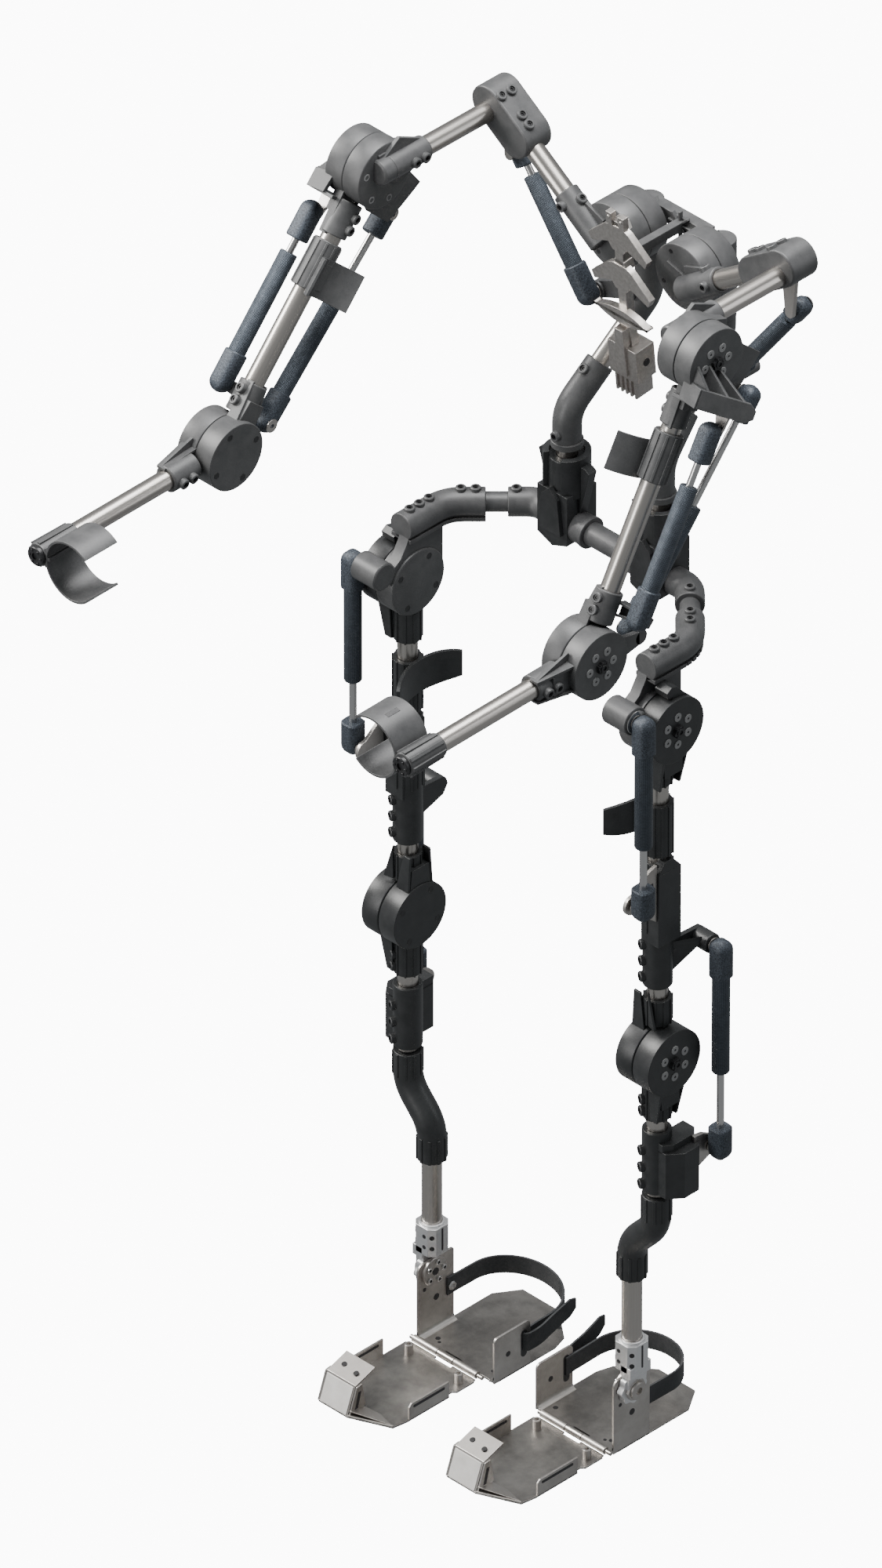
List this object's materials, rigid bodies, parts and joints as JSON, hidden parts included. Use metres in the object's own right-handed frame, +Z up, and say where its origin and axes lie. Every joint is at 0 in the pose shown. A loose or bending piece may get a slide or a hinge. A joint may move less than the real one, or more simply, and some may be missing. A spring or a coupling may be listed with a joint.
{
  "type": "passive exoskeleton frame",
  "caption": "Wearable full-body support frame of steel tubes in moulded clamps, with disc hinges, spring struts, limb cuffs and hinged foot plates.",
  "frame": {"origin": "centre of the object's box at the soles, on the floor", "axes": "+Z up, the wearer faces -Y, the wearer's left is +X"},
  "size_m": [0.6032, 0.7396, 1.5176],
  "materials": {
    "grey_nylon": "fine grained moulded nylon",
    "black_nylon": "fine grained black nylon",
    "tube_steel": "brushed nickel finish",
    "rod_steel": "ground",
    "blue_knurl": "knurled sleeve",
    "foot_steel": "scratched stainless sheet",
    "bright_alloy": "machined",
    "silver_cast": "satin cast",
    "strap": "smooth with cut edges"
  },
  "bodies": {
    "frame": {"back_block_L": "grey_nylon", "back_block_R": "grey_nylon", "cross_tube": "grey_nylon", "hip_arm_L": "grey_nylon", "hip_arm_R": "grey_nylon", "shoulder_riser_L": "grey_nylon", "shoulder_riser_R": "grey_nylon", "spine_hanger": "silver_cast"},
    "thigh_L": {"hip_yoke_L": "black_nylon", "thigh_tube_L": "tube_steel", "thigh_cuff_L": "black_nylon", "thigh_spring_bracket_L": "black_nylon"},
    "shank_L": {"knee_lower_L": "black_nylon", "shank_tube_L": "tube_steel", "ankle_clamp_L": "bright_alloy"},
    "foot_L": {"heel_plate_L": "foot_steel", "foot_strap_L": "strap"},
    "toes_L": {"toe_plate_L": "foot_steel"},
    "link_L": {"abduction_clamp_L": "grey_nylon", "shoulder_link_L": "tube_steel"},
    "upper_arm_L": {"shoulder_yoke_L": "grey_nylon", "upper_arm_tube_L": "tube_steel", "upper_arm_cuff_L": "grey_nylon", "arm_stay_L": "blue_knurl"},
    "forearm_L": {"forearm_tube_L": "tube_steel", "wrist_cuff_L": "grey_nylon"},
    "hip_L_strut": {"hip_spring_L_cylinder": "blue_knurl"},
    "hip_L_rod": {"hip_spring_L_rod": "rod_steel"},
    "knee_L_strut": {"knee_spring_L_cylinder": "blue_knurl"},
    "knee_L_rod": {"knee_spring_L_rod": "rod_steel"},
    "abduction_L_strut": {"abduction_spring_L_cylinder": "blue_knurl"},
    "abduction_L_rod": {"abduction_spring_L_rod": "rod_steel"},
    "elbow_L_strut": {"elbow_spring_L_cylinder": "blue_knurl"},
    "elbow_L_rod": {"elbow_spring_L_rod": "rod_steel"},
    "thigh_R": {"hip_yoke_R": "black_nylon", "thigh_tube_R": "tube_steel", "thigh_cuff_R": "black_nylon", "thigh_spring_bracket_R": "black_nylon"},
    "shank_R": {"knee_lower_R": "black_nylon", "shank_tube_R": "tube_steel", "ankle_clamp_R": "bright_alloy"},
    "foot_R": {"heel_plate_R": "foot_steel", "foot_strap_R": "strap"},
    "toes_R": {"toe_plate_R": "foot_steel"},
    "link_R": {"abduction_clamp_R": "grey_nylon", "shoulder_link_R": "tube_steel"},
    "upper_arm_R": {"shoulder_yoke_R": "grey_nylon", "upper_arm_tube_R": "tube_steel", "upper_arm_cuff_R": "grey_nylon", "arm_stay_R": "blue_knurl"},
    "forearm_R": {"forearm_tube_R": "tube_steel", "wrist_cuff_R": "grey_nylon"},
    "hip_R_strut": {"hip_spring_R_cylinder": "blue_knurl"},
    "hip_R_rod": {"hip_spring_R_rod": "rod_steel"},
    "knee_R_strut": {"knee_spring_R_cylinder": "blue_knurl"},
    "knee_R_rod": {"knee_spring_R_rod": "rod_steel"},
    "abduction_R_strut": {"abduction_spring_R_cylinder": "blue_knurl"},
    "abduction_R_rod": {"abduction_spring_R_rod": "rod_steel"},
    "elbow_R_strut": {"elbow_spring_R_cylinder": "blue_knurl"},
    "elbow_R_rod": {"elbow_spring_R_rod": "rod_steel"}
  },
  "joints": [
    {"name": "hip_L", "type": "hinge", "parent": "frame", "child": "thigh_L", "pos_m": [0.1944, 0.1224, 0.9758], "axis": [-1, 0, 0], "range_deg": [0, 46]},
    {"name": "knee_L", "type": "hinge", "parent": "thigh_L", "child": "shank_L", "pos_m": [0.1917, 0.1224, 0.5408], "axis": [1, 0, 0], "range_deg": [0, 48]},
    {"name": "ankle_L", "type": "hinge", "parent": "shank_L", "child": "foot_L", "pos_m": [0.15, 0.1224, 0.0818], "axis": [-1, 0, 0], "range_deg": [-20, 20]},
    {"name": "toe_L", "type": "hinge", "parent": "foot_L", "child": "toes_L", "pos_m": [0.0975, 0.0932, 0.0062], "axis": [-1, 0, 0], "range_deg": [0, 40]},
    {"name": "abduction_L", "type": "hinge", "parent": "frame", "child": "link_L", "pos_m": [0.0539, 0.318, 1.395], "axis": [0, -1, 0], "range_deg": [-5, 30]},
    {"name": "shoulder_L", "type": "hinge", "parent": "link_L", "child": "upper_arm_L", "pos_m": [0.2467, 0.1249, 1.4741], "axis": [-1, 0, 0], "range_deg": [-28, 40]},
    {"name": "elbow_L", "type": "hinge", "parent": "upper_arm_L", "child": "forearm_L", "pos_m": [0.2467, -0.04585, 1.16858], "axis": [-1, 0, 0], "range_deg": [-20, 30]},
    {"name": "hip_L_swing", "type": "hinge", "parent": "frame", "child": "hip_L_strut", "pos_m": [0.2183, 0.0724, 1.0058], "axis": [1, 0, 0], "range_deg": [-44.04, 1]},
    {"name": "hip_L_stroke", "type": "slide", "parent": "hip_L_strut", "child": "hip_L_rod", "axis": [0, 0, -1], "range_m": [-0.04543, 0.001]},
    {"name": "knee_L_swing", "type": "hinge", "parent": "thigh_L", "child": "knee_L_strut", "pos_m": [0.2308, 0.1782, 0.67], "axis": [1, 0, 0], "range_deg": [-1, 25.55]},
    {"name": "knee_L_stroke", "type": "slide", "parent": "knee_L_strut", "child": "knee_L_rod", "axis": [0, 0, -1], "range_m": [-0.06421, 0.001]},
    {"name": "abduction_L_swing", "type": "hinge", "parent": "frame", "child": "abduction_L_strut", "pos_m": [0.1067, 0.3149, 1.2841], "axis": [0, -1, 0], "range_deg": [-4.17, 20.02]},
    {"name": "abduction_L_stroke", "type": "slide", "parent": "abduction_L_strut", "child": "abduction_L_rod", "axis": [0.5952, 0, 0.8036], "range_m": [-0.00972, 0.05334]},
    {"name": "elbow_L_swing", "type": "hinge", "parent": "forearm_L", "child": "elbow_L_strut", "pos_m": [0.2467, 0.02084, 1.16974], "axis": [1, 0, 0], "range_deg": [-23.19, 34.29]},
    {"name": "elbow_L_stroke", "type": "slide", "parent": "elbow_L_strut", "child": "elbow_L_rod", "axis": [0.0566, 0.5766, 0.8151], "range_m": [-0.021, 0.031]},
    {"name": "hip_R", "type": "hinge", "parent": "frame", "child": "thigh_R", "pos_m": [-0.1944, 0.1224, 0.9758], "axis": [-1, 0, 0], "range_deg": [0, 46]},
    {"name": "knee_R", "type": "hinge", "parent": "thigh_R", "child": "shank_R", "pos_m": [-0.1917, 0.1224, 0.5408], "axis": [1, 0, 0], "range_deg": [0, 48]},
    {"name": "ankle_R", "type": "hinge", "parent": "shank_R", "child": "foot_R", "pos_m": [-0.15, 0.1224, 0.0818], "axis": [-1, 0, 0], "range_deg": [-20, 20]},
    {"name": "toe_R", "type": "hinge", "parent": "foot_R", "child": "toes_R", "pos_m": [-0.0975, 0.0932, 0.0062], "axis": [-1, 0, 0], "range_deg": [0, 40]},
    {"name": "abduction_R", "type": "hinge", "parent": "frame", "child": "link_R", "pos_m": [-0.0539, 0.318, 1.395], "axis": [0, 1, 0], "range_deg": [-5, 30]},
    {"name": "shoulder_R", "type": "hinge", "parent": "link_R", "child": "upper_arm_R", "pos_m": [-0.2467, 0.1249, 1.4741], "axis": [-1, 0, 0], "range_deg": [-30, 28]},
    {"name": "elbow_R", "type": "hinge", "parent": "upper_arm_R", "child": "forearm_R", "pos_m": [-0.2467, -0.09774, 1.21978], "axis": [-1, 0, 0], "range_deg": [-10, 40]},
    {"name": "hip_R_swing", "type": "hinge", "parent": "frame", "child": "hip_R_strut", "pos_m": [-0.2183, 0.0724, 1.0058], "axis": [1, 0, 0], "range_deg": [-44.04, 1]},
    {"name": "hip_R_stroke", "type": "slide", "parent": "hip_R_strut", "child": "hip_R_rod", "axis": [0, 0, -1], "range_m": [-0.04543, 0.001]},
    {"name": "knee_R_swing", "type": "hinge", "parent": "thigh_R", "child": "knee_R_strut", "pos_m": [-0.2308, 0.1782, 0.67], "axis": [1, 0, 0], "range_deg": [-1, 25.55]},
    {"name": "knee_R_stroke", "type": "slide", "parent": "knee_R_strut", "child": "knee_R_rod", "axis": [0, 0, -1], "range_m": [-0.06421, 0.001]},
    {"name": "abduction_R_swing", "type": "hinge", "parent": "frame", "child": "abduction_R_strut", "pos_m": [-0.1067, 0.3149, 1.2841], "axis": [0, 1, 0], "range_deg": [-4.17, 20.02]},
    {"name": "abduction_R_stroke", "type": "slide", "parent": "abduction_R_strut", "child": "abduction_R_rod", "axis": [-0.5952, 0, 0.8036], "range_m": [-0.00972, 0.05334]},
    {"name": "elbow_R_swing", "type": "hinge", "parent": "forearm_R", "child": "elbow_R_strut", "pos_m": [-0.2467, -0.03105, 1.22095], "axis": [1, 0, 0], "range_deg": [-12.34, 46.35]},
    {"name": "elbow_R_stroke", "type": "slide", "parent": "elbow_R_strut", "child": "elbow_R_rod", "axis": [-0.0614, 0.7604, 0.6466], "range_m": [-0.01051, 0.03905]}
  ],
  "couplings": [
    {"joint": "hip_L_swing", "follows": "hip_L", "ratio": -0.93559},
    {"joint": "hip_L_stroke", "follows": "hip_L", "m_per_rad": -0.055339},
    {"joint": "knee_L_swing", "follows": "knee_L", "ratio": 0.51148},
    {"joint": "knee_L_stroke", "follows": "knee_L", "m_per_rad": -0.075455},
    {"joint": "abduction_L_swing", "follows": "abduction_L", "ratio": 0.63393},
    {"joint": "abduction_L_stroke", "follows": "abduction_L", "m_per_rad": 0.099966},
    {"joint": "elbow_L_swing", "follows": "elbow_L", "ratio": 1.1097},
    {"joint": "elbow_L_stroke", "follows": "elbow_L", "m_per_rad": 0.057303},
    {"joint": "hip_R_swing", "follows": "hip_R", "ratio": -0.93559},
    {"joint": "hip_R_stroke", "follows": "hip_R", "m_per_rad": -0.055339},
    {"joint": "knee_R_swing", "follows": "knee_R", "ratio": 0.51148},
    {"joint": "knee_R_stroke", "follows": "knee_R", "m_per_rad": -0.075455},
    {"joint": "abduction_R_swing", "follows": "abduction_R", "ratio": 0.63393},
    {"joint": "abduction_R_stroke", "follows": "abduction_R", "m_per_rad": 0.099966},
    {"joint": "elbow_R_swing", "follows": "elbow_R", "ratio": 1.1338},
    {"joint": "elbow_R_stroke", "follows": "elbow_R", "m_per_rad": 0.0545}
  ]
}
